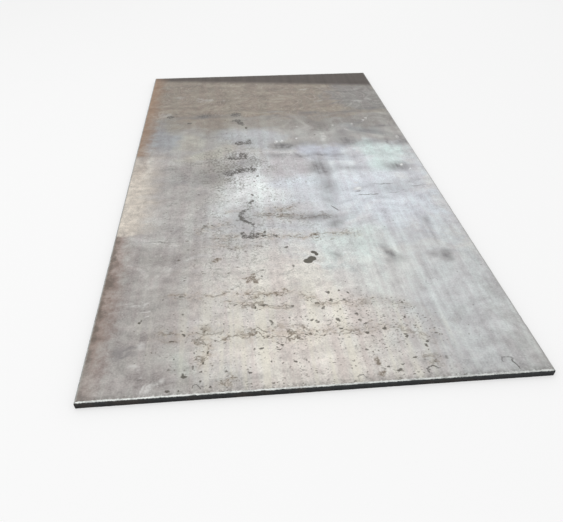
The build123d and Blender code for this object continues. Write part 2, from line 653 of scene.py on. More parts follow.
# Dark spots of scale: middle x and y, half width, half length
SPOTS = (
    (-0.427, -1.419, 0.011, 0.012),
    (-0.373, -1.405, 0.006, 0.008),
    (-0.374, -1.445, 0.006, 0.008),
    (-0.342, -1.472, 0.006, 0.007),
    (-0.470, -1.477, 0.009, 0.009),
    (-0.396, -1.319, 0.005, 0.008),
    (-0.363, -1.367, 0.005, 0.007),
    (-0.396, -1.383, 0.006, 0.008),
    (-0.464, -1.341, 0.004, 0.005),
    (-0.591, -1.149, 0.005, 0.005),
    (-0.436, -1.227, 0.008, 0.006),
    (-0.470, -1.256, 0.014, 0.006),
    (-0.351, -1.323, 0.005, 0.007),
    (-0.217, -1.421, 0.011, 0.009),
    (-0.146, -1.381, 0.005, 0.006),
    (-0.110, -1.388, 0.005, 0.006),
    (-0.068, -1.384, 0.008, 0.008),
    (-0.032, -1.381, 0.008, 0.007),
    (0.225, -1.441, 0.007, 0.007),
    (0.258, -1.452, 0.016, 0.010),
    (0.275, -1.430, 0.006, 0.005),
    (0.322, -1.405, 0.005, 0.006),
    (-0.132, -1.190, 0.009, 0.012),
    (-0.068, -1.168, 0.006, 0.008),
    (0.010, -1.190, 0.010, 0.009),
    (0.030, -1.197, 0.008, 0.007),
    (0.068, -1.196, 0.007, 0.006),
    (0.102, -1.197, 0.010, 0.011),
    (0.180, -1.204, 0.010, 0.008),
    (0.195, -1.222, 0.008, 0.007),
    (0.190, -1.270, 0.011, 0.005),
    (0.236, -1.270, 0.007, 0.006),
    (0.255, -1.250, 0.008, 0.006),
    (0.088, -1.036, 0.009, 0.010),
    (0.131, -1.030, 0.006, 0.007),
    (0.166, -1.048, 0.006, 0.007),
    (0.095, -1.085, 0.010, 0.010),
    (-0.150, -1.092, 0.015, 0.006),
    (-0.050, -1.110, 0.008, 0.008),
    (0.060, -1.125, 0.010, 0.008),
    (0.040, -1.100, 0.008, 0.006),
    (-0.185, -1.105, 0.006, 0.010),
    (-0.174, -1.317, 0.009, 0.007),
    (-0.198, -1.320, 0.005, 0.007),
    (-0.105, -1.305, 0.008, 0.007),
    (-0.120, -1.322, 0.010, 0.004),
    (0.046, -1.270, 0.006, 0.006),
    (-0.017, -1.265, 0.007, 0.006),
    (0.105, -1.240, 0.008, 0.006),
    (-0.022, -0.861, 0.007, 0.009),
    (-0.149, -0.917, 0.007, 0.008),
    (-0.030, -0.725, 0.008, 0.014),
    (0.320, -1.300, 0.006, 0.006),
    (0.372, -1.350, 0.006, 0.010),
    (0.385, -1.330, 0.007, 0.006),
    (0.300, -1.240, 0.006, 0.005),
    (0.360, -1.250, 0.008, 0.005),
    (0.270, -1.190, 0.006, 0.005),
    (0.340, -1.200, 0.006, 0.005),
    (-0.152, -0.267, 0.008, 0.014),
    (-0.164, -0.343, 0.008, 0.014),
    (-0.156, -0.325, 0.010, 0.012),
    (-0.116, -0.075, 0.006, 0.014),
    (-0.134, -0.131, 0.006, 0.010),
    (-0.116, -0.597, 0.008, 0.014),
    (-0.120, -0.628, 0.013, 0.010),
    (-0.071, -0.632, 0.014, 0.012),
    (-0.147, 0.549, 0.011, 0.018),
)

# A splinter of scale, straight and dark, as a mark
SPLINTER = (0.219, -0.423, 0.036, 0.0045, -60.0, 1.6)

# Thin wavy scratches, as marks
SCRATCHES = (
    (0.600, -0.690, 0.0110, 0.170, 0.0, 0.30),
    (0.560, -0.300, 0.090, 0.0050, 2.0, 0.9),
    (0.500, -0.210, 0.080, 0.0050, -2.0, 0.8),
    (0.660, -0.245, 0.060, 0.0050, 8.0, 0.9),
    (0.400, -0.310, 0.070, 0.0055, 0.0, 0.9),
    (0.440, -0.475, 0.100, 0.0040, 0.0, 0.4),
    (-0.560, -0.640, 0.120, 0.0035, -6.0, 0.6),
    (0.356, -0.272, 0.026, 0.0060, -10.0, 0.9),
)

# Open rings that a wet rim or a curl of scale left, as marks
ARCS = (
    (0.365, -1.462, 0.016, 0.018, -60.0, 1.0),
    (0.616, -1.440, 0.015, 0.016, -90.0, 0.65),
    (-0.385, -1.468, 0.010, 0.012, -90.0, 0.9),
    (0.130, -1.475, 0.012, 0.013, -90.0, 0.7),
    (0.482, -1.012, 0.013, 0.014, 30.0, 0.35),
    (0.508, -0.998, 0.010, 0.012, -120.0, 0.35),
)

# Dark strokes of a curled stain, and the tail of one open ring, as marks
STROKES = (
    (-0.190, -0.408, 0.028, 0.012, 40.0, 0.8),
    (-0.212, -0.440, 0.013, 0.030, -15.0, 1.0),
    (-0.211, -0.476, 0.013, 0.030, 22.0, 1.1),
    (-0.188, -0.508, 0.030, 0.012, -45.0, 1.0),
    (-0.163, -0.533, 0.016, 0.010, -30.0, 0.8),
    (-0.157, -0.560, 0.007, 0.028, 0.0, 0.5),
    (0.636, -1.464, 0.005, 0.030, 18.0, 0.6),
)

# Pale open rings where something was dragged round, as marks
RUBBED_ARCS = (
    (0.400, 0.560, 0.100, 0.040, -90.0, 0.20),
    (0.610, 0.620, 0.090, 0.060, -110.0, 0.12),
    (-0.395, 1.045, 0.045, 0.040, 90.0, 0.7),
    (-0.660, 0.810, 0.050, 0.050, 80.0, 0.7),
)

# Brown threads that water left where it dried: x and y of one end, x and y of the other, strength
THREADS = (
    (-0.520, -1.005, -0.240, -1.030, 0.7),
    (-0.260, -1.025, -0.040, -1.015, 1.0),
    (-0.305, -1.075, -0.040, -1.100, 0.8),
    (-0.020, -1.040, 0.080, -1.120, 0.9),
    (0.040, -1.115, 0.230, -1.095, 0.8),
    (-0.530, -1.222, -0.300, -1.215, 0.7),
    (-0.320, -1.262, 0.050, -1.258, 1.0),
    (-0.220, -1.232, 0.100, -1.228, 0.9),
    (0.060, -1.250, 0.270, -1.245, 0.8),
    (0.250, -1.250, 0.440, -1.300, 0.6),
    (0.200, -1.100, 0.380, -1.120, 0.5),
    (-0.352, -1.190, -0.365, -1.385, 0.9),
    (-0.296, -1.420, -0.294, -1.490, 0.9),
    (0.372, -1.390, 0.368, -1.440, 0.9),
    (-0.340, -0.640, -0.215, -0.630, 0.8),
    (-0.160, -0.640, 0.030, -0.638, 1.0),
    (0.025, -0.640, 0.130, -0.645, 1.3),
    (0.130, -0.642, 0.290, -0.640, 0.9),
    (-0.300, -0.430, -0.215, -0.405, 0.8),
    (-0.095, -0.402, 0.045, -0.405, 1.0),
    (-0.140, -0.440, 0.020, -0.480, 1.0),
    (0.000, -0.482, 0.200, -0.505, 0.8),
    (-0.420, -0.560, -0.250, -0.520, 0.6),
    (-0.360, -0.700, -0.130, -0.690, 0.5),
)

# Small white chips, as marks
CHIPS = (
    (0.366, -0.242, 0.018, 0.011, 10.0, 1.0),
    (0.639, -0.012, 0.007, 0.014, -20.0, 1.0),
    (0.669, -0.060, 0.005, 0.020, -25.0, 1.0),
    (0.202, -0.783, 0.007, 0.008, 0.0, 1.0),
    (0.015, 0.337, 0.007, 0.014, 0.0, 0.8),
    (0.046, 0.350, 0.006, 0.012, 0.0, 0.8),
    (0.130, 0.370, 0.006, 0.012, 0.0, 0.6),
)

# Pale rubbed streaks, as marks
SCUFFS = (
    (-0.608, -1.055, 0.055, 0.008, 14.0, 1.1),
    (-0.576, -1.083, 0.042, 0.008, 19.0, 1.1),
    (-0.568, -1.124, 0.024, 0.007, 29.0, 1.0),
    (-0.640, -1.045, 0.040, 0.006, 16.0, 0.7),
    (-0.510, -1.452, 0.014, 0.060, -31.0, 1.0),
    (-0.540, -1.468, 0.010, 0.040, -31.0, 0.7),
    (-0.572, -1.268, 0.012, 0.040, 8.0, 0.6),
    (-0.586, -1.372, 0.030, 0.014, -20.0, 0.5),
    (-0.560, -1.405, 0.012, 0.018, 0.0, 0.4),
    (-0.660, 0.800, 0.060, 0.080, 0.0, 0.45),
    (-0.380, 1.030, 0.040, 0.022, 25.0, 1.0),
    (-0.420, 1.055, 0.016, 0.035, 20.0, 0.9),
    (-0.560, 1.090, 0.050, 0.050, 0.0, 0.5),
    (-0.270, 1.010, 0.030, 0.040, 0.0, 0.4),
    (0.280, 1.180, 0.060, 0.018, 20.0, 0.7),
    (0.350, 0.960, 0.050, 0.026, 20.0, 0.7),
    (0.600, 0.930, 0.060, 0.040, -15.0, 0.6),
    (0.660, 0.960, 0.030, 0.060, 10.0, 0.6),
    (0.362, 0.543, 0.012, 0.018, 0.0, 0.9),
    (0.480, 0.552, 0.016, 0.016, -40.0, 0.8),
    (0.575, 0.637, 0.007, 0.030, -15.0, 1.2),
    (0.551, 0.599, 0.007, 0.030, -15.0, 1.0),
    (0.159, 0.543, 0.008, 0.018, 0.0, 0.9),
    (0.438, 0.475, 0.008, 0.024, 0.0, 0.7),
    (0.285, 0.370, 0.030, 0.100, 0.0, 0.6),
    (0.015, 0.337, 0.012, 0.026, 0.0, 1.2),
    (0.046, 0.350, 0.009, 0.022, 0.0, 1.2),
    (0.130, 0.370, 0.012, 0.020, 0.0, 1.0),
    (0.362, -0.246, 0.026, 0.022, 0.0, 1.7),
    (0.376, -0.190, 0.020, 0.016, 0.0, 0.8),
    (0.700, 0.330, 0.020, 0.040, 0.0, 0.8),
    (0.690, 0.020, 0.030, 0.040, 20.0, 0.7),
    (0.636, -0.015, 0.010, 0.024, -20.0, 1.2),
)

# Where the tone turns to mid grey and to dust, and where the near end darkens, as y from and to
MID_GREY_Y = (0.14, 0.40)
DUST_Y = (0.66, 0.77)
END_SHADE_Y = (-1.40, -1.50)

# Specks strewn along the near end: where they begin and are full, as y and as distance from the middle line
END_SPECKS_Y = (-1.445, -1.485)
END_SPECKS_X = (0.66, 0.50)

# Cells that hold one speck at most, across and along
DASH_CELL = (0.034, 0.014)
FLECK_CELL = (0.022, 0.022)
PIT_CELL = (0.036, 0.030)
SPECK_CELL = (0.016, 0.010)

# Threads: where they fade across and at their ends, the second strand's offset and the reach of the stain
THREAD_ACROSS = (0.0060, 0.0010)
THREAD_FADE = 0.03
STRAND_OFFSET = 0.0012
STAIN_REACH = 0.042

# Rust on the left side: the reach of the rust, of its dark rim and of the pale stretch, from and to
RUST_REACH = (0.115, 0.000)
DARK_RIM_REACH = (0.040, 0.008)
PALE_REACH = (0.195, 0.050)

# Where along y the rust and the pale stretch grow, and where and how far in rust is left on the stretch
RUST_GROWS_Y = (-1.44, -1.22)
PALE_GROWS_Y = (0.20, -0.10)
RUST_LEFT_Y = (-0.10, 0.06)
RUST_LEFT_REACH = (0.090, 0.020)

# Painted shadow, a dark strip across the far end: its y on the middle line, how much it leans, and where it
# fades in
STRIP_Y = 1.346
STRIP_LEAN = 0.142
STRIP_FADE = (-0.060, 0.030)

# Lines along the rim, as distances from the outline, from and to
SIDE_LINE = (0.0085, 0.0055)
GRIME_LINE = (0.030, 0.012)
END_LINE = (0.0075, 0.0050)

# Height of the relief
FACE_RELIEF = 0.0006


def shared_noise(f):
    """Places and noises that several layers of the rolled face read."""
    n = SimpleNamespace()
    n.x = f.along(f.place, (1.0, 0.0, 0.0))
    n.y = f.along(f.place, (0.0, 1.0, 0.0))
    n.drift = f.wandering(f.place, size=0.30, reach=0.30, seed=1.0, detail=3.0)
    n.drift_y = f.along(n.drift, (0.0, 1.0, 0.0))
    n.swirl = f.wandering(f.place, size=0.28, reach=0.60, seed=16.0, detail=1.0)
    n.smeared = f.wandering(f.place, size=0.08, reach=0.06, seed=13.0)
    n.ragged = f.wandering(f.place, size=0.026, reach=0.022, seed=2.0)
    n.clouds = f.lumps(n.swirl, (0.20, 0.15), seed=3.0, detail=5.0, rough=0.62)
    n.streaks = f.lumps(f.place, (0.018, 0.22), seed=4.0, detail=3.0, rough=0.6)
    n.wide_streaks = f.lumps(f.place, (0.040, 1.00), seed=5.0, detail=3.0)
    n.cross = f.lumps(n.smeared, (0.26, 0.055), seed=6.0, detail=4.0, rough=0.6)
    n.wipes = f.lumps(n.swirl, (0.016, 0.12), seed=17.0, detail=3.0, rough=0.6)
    n.blotch = f.lumps(f.place, (0.075, 0.085), seed=14.0, detail=4.0, rough=0.65)
    n.mottle = f.lumps(f.place, (0.028, 0.028), seed=7.0, detail=4.0, rough=0.7)
    n.grain = f.lumps(f.place, (0.0065, 0.0065), seed=8.0, rough=0.6)
    n.crumb = f.lumps(f.place, (0.013, 0.013), seed=9.0, detail=3.0, rough=0.7)
    n.curl = f.lumps(f.place, (0.030, 0.022), seed=15.0, detail=3.0, rough=0.6)
    n.cloudy = 1.2 * (n.clouds - 0.5)
    return n


def tone_zones(f, n, colour, zones):
    """Soft areas of their own grey, with a cloudy outline."""
    for *zone, share, tone in zones:
        inside = f.ease(f.reach(n.drift, zone) + n.cloudy, 1.25, 0.35)
        colour = f.mix(inside * share, colour, tone)
    return colour


def broad_tones(f, n):
    """Large soft areas of different grey, from the warm near end to the dusty far end, with painted
    reflection as cold pale zones across the middle and right.
    """
    colour = tone_zones(f, n, PLATE_GREY, NEAR_ZONES)
    middle = f.ease(n.drift_y + 0.5 * (n.clouds - 0.5), *MID_GREY_Y)
    colour = f.mix(middle * 0.9, colour, MID_GREY)
    colour = tone_zones(f, n, colour, FAR_ZONES)
    n.far = f.ease(n.drift_y + 0.20 * (n.cross - 0.5), *DUST_Y)
    on_right = f.ease(f.reach(n.drift, FAR_RIGHT_ZONE) + n.cloudy, 1.1, 0.6)
    dust = f.mix(on_right, FAR_DUST, FAR_GREY)
    return f.mix(n.far * 0.95, colour, dust)


def rolled_texture(f, n, colour):
    """Clouds, rolling streaks, cross wipes, blotches, mottling and grain, as one factor of lightness. To
    that come a faint pink or green cast, cream and pink streaks at the near end and pale wipes in the
    dust."""
    dragged = f.ease(f.reach(n.drift, DRAGGED_ZONE), 1.1, 0.5)
    lengthwise = (0.12 + 0.14 * dragged) * (n.streaks - 0.5)
    lengthwise = lengthwise + (0.34 + 0.18 * dragged) * (n.wide_streaks - 0.5)
    tone = 1.0 + 0.55 * (n.clouds - 0.5) + lengthwise * (1.0 - 0.8 * n.far)
    tone = tone + (0.45 - 0.28 * dragged) * (n.cross - 0.5) + 0.55 * (n.blotch - 0.5)
    tone = tone - 0.13 * f.ease(n.y + 0.10 * (n.blotch - 0.5), *END_SHADE_Y)
    tone = tone + n.far * (0.50 * (n.wipes - 0.5) + 0.30 * (n.cross - 0.5) + 0.30 * (n.mottle - 0.5))
    tone = tone + (0.58 - 0.18 * dragged) * (n.mottle - 0.5)
    tone = tone + (0.54 - 0.18 * dragged) * (n.grain - 0.5)
    colour = f.scaled(colour, tone)
    cast = f.ease(n.wide_streaks + n.blotch + 1.2 * n.far * (n.clouds - 0.5), 0.75, 1.25)
    colour = f.mix(1.0, colour, f.mix(cast, PINK_CAST, GREEN_CAST), "MULTIPLY")
    n.pitted = f.ease(f.reach(n.drift, PITTED_ZONE), 1.1, 0.35)
    colour = f.mix(n.pitted * f.ease(n.wide_streaks, 0.50, 0.66) * 0.40, colour, CREAM_STREAK)
    colour = f.mix(n.pitted * f.ease(n.wide_streaks, 0.48, 0.34) * 0.30, colour, PINK_STREAK)
    rubbed = f.ease(n.wipes, 0.56, 0.74) * n.far
    return f.mix(rubbed * 0.12, colour, SCUFF)


def thread_lines(f, place, sway, gap):
    """Thin core and wide halo of all threads. A thread is the line from one point to the other, moved aside
    by sway. Where gap is over 0 it opens into strands, which lie gap and more on each side."""
    core = 0.0
    halo = 0.0
    for x_from, y_from, x_to, y_to, strength in THREADS:
        length = math.hypot(x_to - x_from, y_to - y_from)
        ahead_x = (x_to - x_from) / length
        ahead_y = (y_to - y_from) / length
        offset = ahead_y * x_from - ahead_x * y_from
        middle = (ahead_x * (x_from + x_to) + ahead_y * (y_from + y_to)) / 2
        side = abs(f.along(place, (-ahead_y, ahead_x, 0.0)) + (sway + offset))
        run = f.along(place, (ahead_x, ahead_y, 0.0)) - middle
        span = f.ease(abs(run), length / 2 + THREAD_FADE, length / 2 - THREAD_FADE) * strength
        strands = f.math("MINIMUM", abs(side - gap), abs(side - 2.4 * gap) + STRAND_OFFSET)
        core = f.math("MAXIMUM", f.ease(strands, *THREAD_ACROSS) * span, core)
        halo = f.math("MAXIMUM", f.ease(side, STAIN_REACH, 0.0) * span, halo)
    return core, halo


def rust_threads(f, n, colour):
    """Thin brown lines from one point to another. One noise sways them, another opens them into strands,
    and a third breaks them up. A wider pale brown stain goes along."""
    sway = 0.09 * (f.lumps(f.place, (0.14, 0.18), seed=12.0) - 0.5)
    sway = sway + 0.06 * (f.lumps(f.place, (0.036, 0.036), seed=18.0) - 0.5)
    gap = f.math("MAXIMUM", 0.09 * (f.lumps(f.place, (0.12, 0.08), seed=20.0) - 0.5), 0.0)
    core, n.halo = f.grouped("threads", [f.place, sway, gap], thread_lines)
    broken = f.ease(n.blotch + 0.7 * (n.crumb - 0.5), 0.30, 0.58)
    colour = f.mix(n.halo * f.ease(n.mottle, 0.40, 0.64) * 0.50, colour, STAIN_BROWN)
    return f.mix(core * broken * 0.70, colour, THREAD_BROWN)


def speckle(f, place, size, seed, density, least, most):
    """Round specks in cells of that size: a cell holds one where its random number is under density, with
    a radius between least and most of a cell and its own strength."""
    away = f.cells(place, size, seed)
    random = f.add("ShaderNodeSeparateColor", {}, {0: away.also("Color")})
    held = f.math("LESS_THAN", random, density) * (0.35 + 0.65 * random.also("Blue"))
    radius = least + (most - least) * random.also("Green")
    return f.ease(away - radius, 0.08, -0.08) * held


def freckles_and_hairs(f, n, colour):
    """Fine dark grains, thin curved hairlines, short dashes and pale flecks."""
    freckled = f.ease(f.reach(n.drift, FRECKLED_ZONE), 1.15, 0.35)
    grainy = f.ease(f.reach(n.drift, GRAINY_ZONE) + n.cloudy, 1.1, 0.3)
    grains = f.ease(n.crumb + 0.50 * (n.blotch - 0.5) + 0.09 * grainy, 0.57, 0.66)
    colour = f.mix(grains * (0.04 + 0.44 * freckled + 0.3 * grainy), colour, FRECKLE)
    winding = f.lumps(n.smeared, (0.10, 0.07), seed=19.0, detail=3.0)
    long_hair = f.ease(abs(winding - 0.5), 0.018, 0.004)
    short_hair = f.ease(abs(n.curl - 0.55), 0.022, 0.006) * f.ease(n.mottle, 0.48, 0.58)
    hair = f.math("MAXIMUM", long_hair, short_hair) * f.ease(n.blotch, 0.46, 0.60)
    colour = f.mix(hair * (0.12 + 0.88 * freckled) * 0.58, colour, FRECKLE)
    dashed = f.ease(f.reach(n.drift, DASHED_ZONE), 1.1, 0.4)
    dashes = speckle(f, n.ragged, DASH_CELL, seed=24.0, density=dashed * 0.36, least=0.06, most=0.24)
    colour = f.mix(dashes * 0.85, colour, SPECK_BROWN)
    flecks = speckle(f, f.place, FLECK_CELL, seed=23.0, density=0.10, least=0.05, most=0.16)
    return f.mix(flecks * 0.5, colour, SCUFF)


def nearest_spot(f, place):
    """Distance from the nearest spot's middle: 1 at its rim."""
    nearest = 9.0
    for spot in SPOTS:
        nearest = f.math("MINIMUM", f.reach(place, (*spot, 0.0)), nearest)
    return [nearest]


def spots_and_specks(f, n, colour):
    """Spots of scale where they were seen, and smaller specks strewn round them."""
    strewn = f.ease(f.reach(n.drift, SPECKLED_ZONE), 1.2, 0.5)
    at_end = f.ease(n.y, *END_SPECKS_Y) * f.ease(abs(n.x), *END_SPECKS_X)
    density = n.pitted * f.ease(n.clouds, 0.25, 0.60) + 1.3 * n.halo + 0.6 * at_end + 0.01
    n.pits = speckle(f, n.ragged, PIT_CELL, seed=21.0, density=density * 0.22, least=0.06, most=0.16)
    density = density * 0.40 + strewn * 0.55
    n.specks = speckle(f, n.ragged, SPECK_CELL, seed=22.0, density=density, least=0.10, most=0.26)
    colour = f.mix(n.specks * 0.80, colour, SPECK_BROWN)
    nearest = f.grouped("spots", [n.ragged], nearest_spot)[0]
    spots = f.ease(nearest + 1.4 * (n.crumb - 0.5), 0.98, 0.55) * f.ease(n.mottle, 0.20, 0.50)
    n.pits = f.math("MAXIMUM", n.pits, spots)
    return f.mix(n.pits * 0.85, colour, OIL)


def crusts_and_oil(f, n, colour):
    """Crusts made of crumbs and curled strokes on a grey smear, and smooth dark oil drips."""
    strokes = f.ease(abs(n.curl - 0.5), 0.065, 0.020)
    broken = f.math("MAXIMUM", strokes, f.ease(n.crumb, 0.44, 0.56))
    field = f.marks(n.ragged, CRUSTS) + 0.9 * (n.mottle - 0.5)
    colour = f.mix(f.ease(field, -0.20, 0.5) * 0.35, colour, HAZE_GREY)
    n.crust = f.ease(field, 0.0, 0.30) * broken
    colour = f.mix(n.crust * 0.92, colour, SCALE_DARK)
    brown = f.ease(f.marks(n.ragged, BROWN_CRUSTS), 0.02, 0.45)
    colour = f.mix(brown * 0.25, colour, STAIN_BROWN)
    colour = f.mix(brown * broken * 0.75, colour, THREAD_BROWN)
    n.oil = f.ease(f.marks(f.place, OIL_DRIPS) + 0.5 * (n.crumb - 0.5), 0.02, 0.22)
    return f.mix(n.oil * 0.92, colour, OIL)


def smears_and_scuffs(f, n, colour):
    """Soft dark smudges, curled stains, scratches, pale rubbed streaks and white chips."""
    smudge = f.ease(f.marks(n.smeared, SMUDGES), -0.40, 0.90)
    broken = 0.72 + 0.9 * (n.mottle - 0.5) + 0.6 * (n.cross - 0.5) + 0.9 * (n.streaks - 0.5)
    colour = f.mix(smudge * broken, colour, SMUDGE_GREY)
    rings = f.rings(n.ragged, ARCS, thick=0.28)
    colour = f.mix(rings * f.ease(n.crumb, 0.22, 0.48) * 0.80, colour, SCALE_DARK)
    stroke = f.ease(f.marks(n.ragged, STROKES) + 0.6 * (n.crumb - 0.5), 0.0, 0.35)
    colour = f.mix(stroke * f.ease(n.mottle, 0.25, 0.50) * 0.82, colour, SCALE_DARK)
    scratch = f.ease(f.marks(n.ragged, SCRATCHES), 0.0, 0.6) * f.ease(n.blotch, 0.30, 0.55)
    scratch = f.math("MAXIMUM", scratch, f.ease(f.marks(f.place, [SPLINTER]), 0.0, 0.6))
    colour = f.mix(scratch * 0.7, colour, SCALE_DARK)
    scuff = f.ease(f.marks(n.smeared, SCUFFS), 0.0, 0.6)
    scuff = f.math("MAXIMUM", f.rings(n.smeared, RUBBED_ARCS, thick=0.30), scuff)
    rubbed = (0.20 + 0.45 * f.ease(n.mottle, 0.38, 0.56)) * (1.0 - 0.40 * n.far)
    colour = f.mix(scuff * rubbed, colour, SCUFF)
    chip = f.ease(f.marks(n.ragged, CHIPS) + 0.5 * (n.crumb - 0.5), 0.05, 0.45)
    return f.mix(chip * 0.65, colour, CHIP_WHITE)


def left_rust(f, n, colour):
    """Rust along the left side. It is orange-brown at the far end, and brown with a darker rim at the near
    end. Between them, with straight ends, lies a wider stretch that was rubbed pale."""
    inset = n.x + HALF_WIDTH
    from_left = inset + 0.04 * (n.mottle - 0.5) + 0.11 * (n.blotch - 0.5)
    place = n.y + (0.03 + 0.5 * inset) * (n.blotch - 0.5) + 0.02 * (n.mottle - 0.5)
    begin, end = PALE_STRETCH
    soft_begin, soft_end = PALE_SOFTNESS
    near = f.ease(place, begin + soft_begin, begin - soft_begin)
    pale = f.ease(place, end + soft_end, end - soft_end) * (1.0 - near)
    n.band = f.ease(from_left + 0.008 * near, *RUST_REACH)
    rust = f.mix(near, RUST, BROWN_RUST)
    rust = f.mix(f.ease(from_left, *DARK_RIM_REACH) * near * 0.8, rust, RIM_BROWN)
    rust = f.scaled(rust, 1.0 + 0.8 * (n.mottle - 0.5) + 0.6 * (n.blotch - 0.5))
    kept = (1.0 - pale) * (0.55 + 0.38 * f.ease(n.y, *RUST_GROWS_Y))
    colour = f.mix(n.band * kept, colour, rust)
    left_over = f.ease(n.y + 0.3 * (n.blotch - 0.5), *RUST_LEFT_Y)
    left_over = left_over * f.ease(from_left, *RUST_LEFT_REACH)
    rubbed = f.mix(left_over * 0.5, PALE_RUST, RUST)
    rubbed = f.scaled(rubbed, 0.5 + n.mottle + 0.6 * (n.blotch - 0.5) + 0.5 * (n.grain - 0.5))
    spread = f.ease(from_left + 0.12 * (n.cross - 0.5), *PALE_REACH)
    spread = spread * (0.45 + 0.40 * f.ease(n.y, *PALE_GROWS_Y))
    return f.mix(spread * pale, colour, rubbed)


def painted_far_shadow(f, n, colour):
    """Painted shadow: a dark strip across the far end, wider on the right, with the rust of the left side
    running on through it.
    """
    past = n.y + STRIP_LEAN * n.x - STRIP_Y + 0.03 * (n.cross - 0.5)
    n.dark = f.ease(past, *STRIP_FADE)
    strip = f.mix(n.band * 0.7, FAR_SHADOW, RUST)
    strip = f.scaled(strip, 1.0 + 0.6 * (n.mottle - 0.5) + 0.6 * (n.wide_streaks - 0.5))
    return f.mix(n.dark * 0.95, colour, strip)


def rim_wear_and_highlight(f, n, colour):
    """Bright metal beside the rollover of the two ends, broken up, where the edge was rubbed in handling,
    with a painted highlight on it, grime along it, and a dull pale line along the two sides."""
    chipped = 0.010 * (n.crumb - 0.5)
    side = f.ease(HALF_WIDTH - abs(n.x) + chipped, *SIDE_LINE)
    colour = f.mix(side * 0.50, colour, SIDE_GREY)
    from_end = HALF_LENGTH - abs(n.y)
    grime = f.ease(from_end + 2.0 * chipped, *GRIME_LINE) * f.ease(n.crumb, 0.36, 0.60)
    colour = f.mix(grime * 0.40, colour, RIM_GREY)
    # Painted highlight on the rubbed steel along the rollover of the two ends
    end = f.ease(from_end + 0.8 * chipped, *END_LINE)
    end = end * (0.30 + 0.70 * f.ease(n.grain, 0.36, 0.60))
    return f.mix(end * 0.85, colour, WORN_STEEL_AND_HIGHLIGHT)


def rolled_face():
    """Finish of the top face: mill scale with rolling streaks, water stains, pits, rust and dust, with
    painted reflection across the middle, a painted highlight along the two ends and a painted shadow across
    the far end.
    """
    f = Finish("rolled_face")
    n = shared_noise(f)
    colour = broad_tones(f, n)
    colour = rolled_texture(f, n, colour)
    colour = rust_threads(f, n, colour)
    colour = freckles_and_hairs(f, n, colour)
    colour = spots_and_specks(f, n, colour)
    colour = crusts_and_oil(f, n, colour)
    colour = smears_and_scuffs(f, n, colour)
    colour = left_rust(f, n, colour)
    # Painted shadow across the far end
    colour = painted_far_shadow(f, n, colour)
    colour = rim_wear_and_highlight(f, n, colour)
    # Stains, rust and the painted shadow make the face rougher and less metallic
    stains_and_shadow = f.greatest([n.crust, n.pits, n.specks * 0.7, n.oil, n.band * 0.8, n.dark * 0.6])
    roughness = 0.46 + 0.40 * (n.mottle - 0.5) + 0.25 * (n.cross - 0.5) + 0.12 * n.far + 0.25 * stains_and_shadow
    metallic = 0.70 - 0.45 * stains_and_shadow - 0.25 * n.far
    relief = 0.5 * n.grain + 0.8 * n.mottle + 0.4 * n.streaks - 0.5 * n.specks
    return f.surface(
        {"Base Color": colour, "Roughness": roughness, "Metallic": metallic},
        [(relief, FACE_RELIEF)],
    )


# Sheared edge and underside

# Dark oxide of the land and torn face, darkened further by painted shade
SHADED_EDGE_BLACK = shade(44, 45, 46)
SHADED_EDGE_LAND = shade(56, 58, 59)
EDGE_BROWN = shade(74, 62, 52)
EDGE_RELIEF = 0.0004
LAND_BLEND = 0.001

# Where the shine of the rollover, rubbed metal with a painted highlight, begins and is full, as depths
# under the top face, and where the finish of the two sides does, as distances in from the outline
SHINE_DEPTH = (0.0032, 0.0016)
SIDE_INSET = (0.007, 0.005)

UNDER_DARK = shade(118, 116, 116)
UNDER_PALE = shade(148, 143, 137)
UNDER_RELIEF = 0.0006


def sheared_steel():
    """Finish of the edge: bright rollover, rubbed and with a painted highlight, duller on the two sides,
    and a dark burnished land and darker torn face, both darkened further by painted shade."""
    f = Finish("sheared_edge")
    place = f.place
    z = f.along(place, (0.0, 0.0, 1.0))
    chatter = f.lumps(place, (0.007, 0.007, 0.004), seed=31.0, detail=3.0, rough=0.7)
    upright = f.lumps(place, (0.004, 0.004, 0.060), seed=32.0)
    patches = f.lumps(place, (0.09, 0.09, 0.05), seed=33.0, detail=3.0)
    on_land = f.ease(z, LAND_FOOT - LAND_BLEND, LAND_FOOT + LAND_BLEND)
    # Painted shade on top of the dark oxide of the edge
    colour = f.mix(on_land, SHADED_EDGE_BLACK, SHADED_EDGE_LAND)
    colour = f.mix(f.ease(patches, 0.52, 0.70) * 0.35, colour, EDGE_BROWN)
    colour = f.scaled(colour, 0.6 + 0.8 * upright)
    # Painted highlight on the rubbed rollover
    bright = f.ease(z + 0.0060 * (chatter - 0.5), *(THICKNESS - depth for depth in SHINE_DEPTH))
    x = f.along(place, (1.0, 0.0, 0.0))
    on_side = f.ease(abs(x), *(HALF_WIDTH - inset for inset in SIDE_INSET))
    rubbed = f.lumps(place, (0.028, 0.028, 0.028), seed=34.0, detail=4.0, rough=0.7)
    wear_and_highlight = f.mix(on_side * 0.45, WORN_STEEL_AND_HIGHLIGHT, RIM_GREY)
    wear_and_highlight = f.scaled(wear_and_highlight, 0.62 + 0.38 * f.ease(rubbed, 0.38, 0.60))
    colour = f.mix(bright, colour, wear_and_highlight)
    roughness = 0.55 - 0.20 * bright + 0.3 * (chatter - 0.5)
    return f.surface(
        {"Base Color": colour, "Roughness": roughness, "Metallic": 0.85},
        [(chatter + upright, EDGE_RELIEF)],
    )


